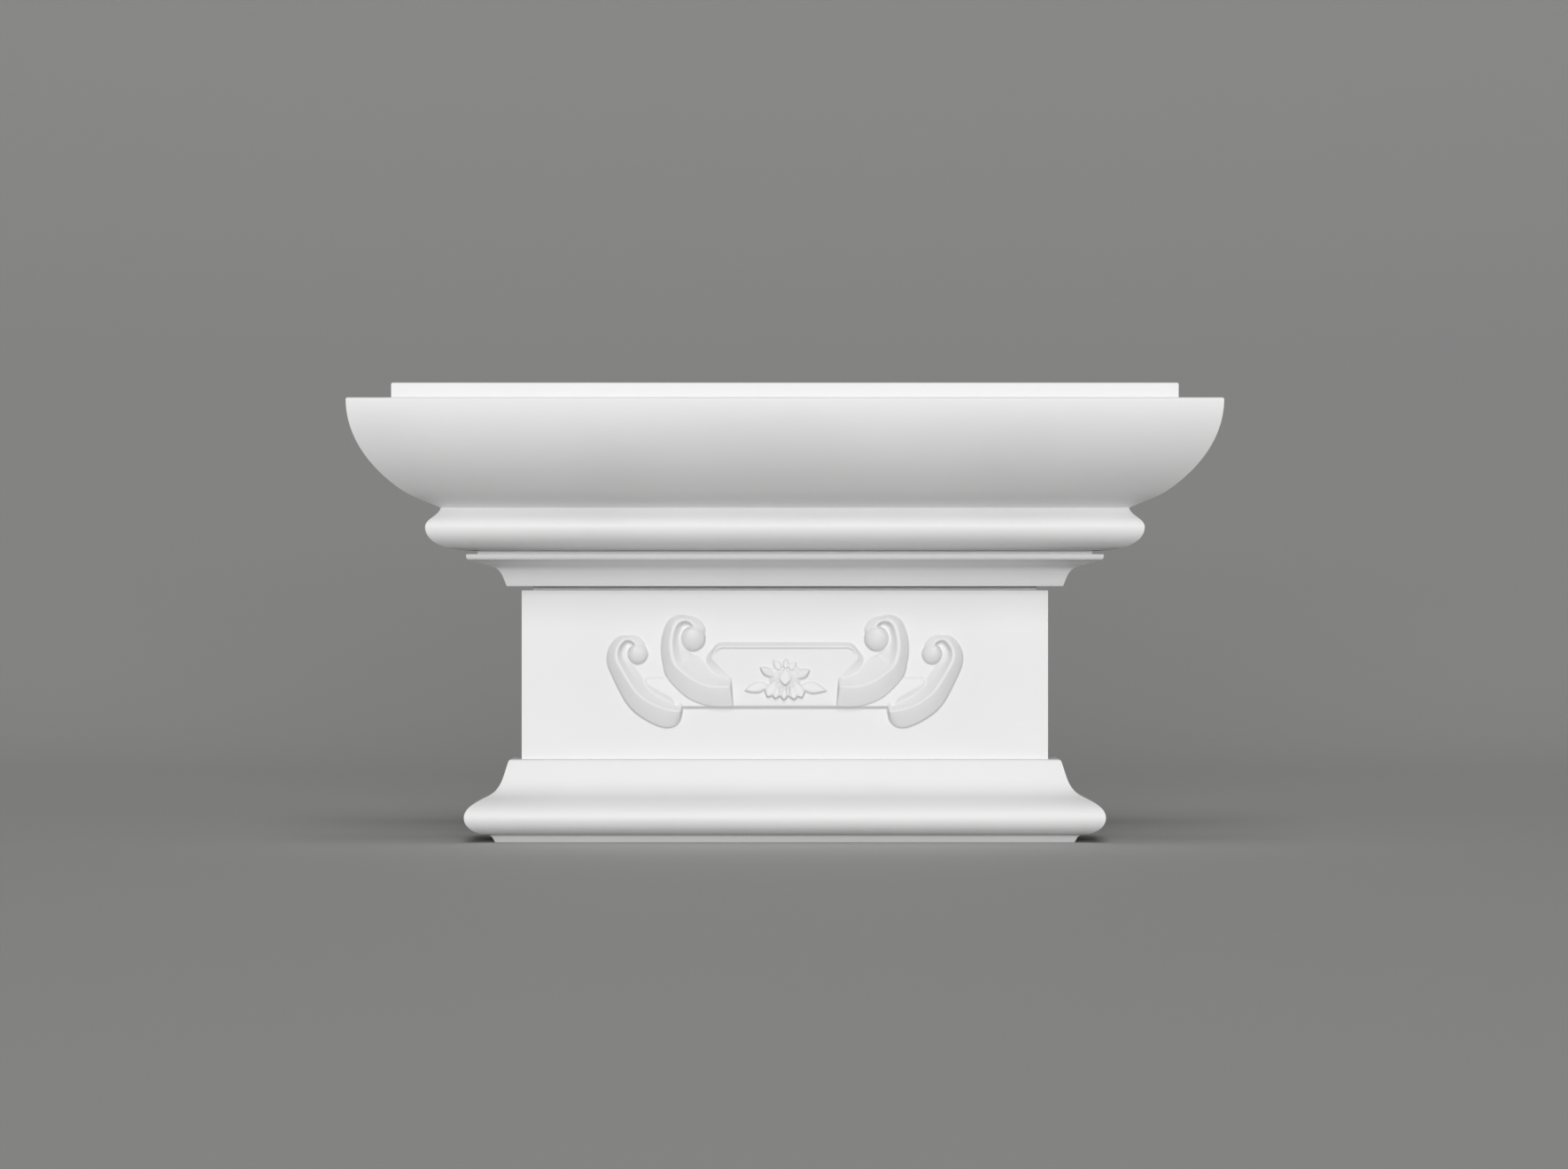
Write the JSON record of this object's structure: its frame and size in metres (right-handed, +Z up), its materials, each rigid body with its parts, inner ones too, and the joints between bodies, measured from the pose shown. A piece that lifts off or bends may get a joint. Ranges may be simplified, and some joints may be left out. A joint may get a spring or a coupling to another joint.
{
  "type": "pilaster capital",
  "caption": "Pilaster capital with a flared crown over a torus and a hollow, a plain neck with raised scrolls and a rosette on a tablet, a spreading base moulding and a flat back.",
  "frame": {"origin": "middle of the overall box at the underside, where the capital sits on its shaft", "axes": "+Z up, +Y toward the wall behind the flat back, the ornamented front faces -Y, +X along the front"},
  "size_m": [0.3906, 0.1204, 0.2075],
  "materials": {
    "white_paint": "smooth matte white paint"
  },
  "bodies": {
    "root": {"capital": "white_paint"}
  },
  "joints": []
}
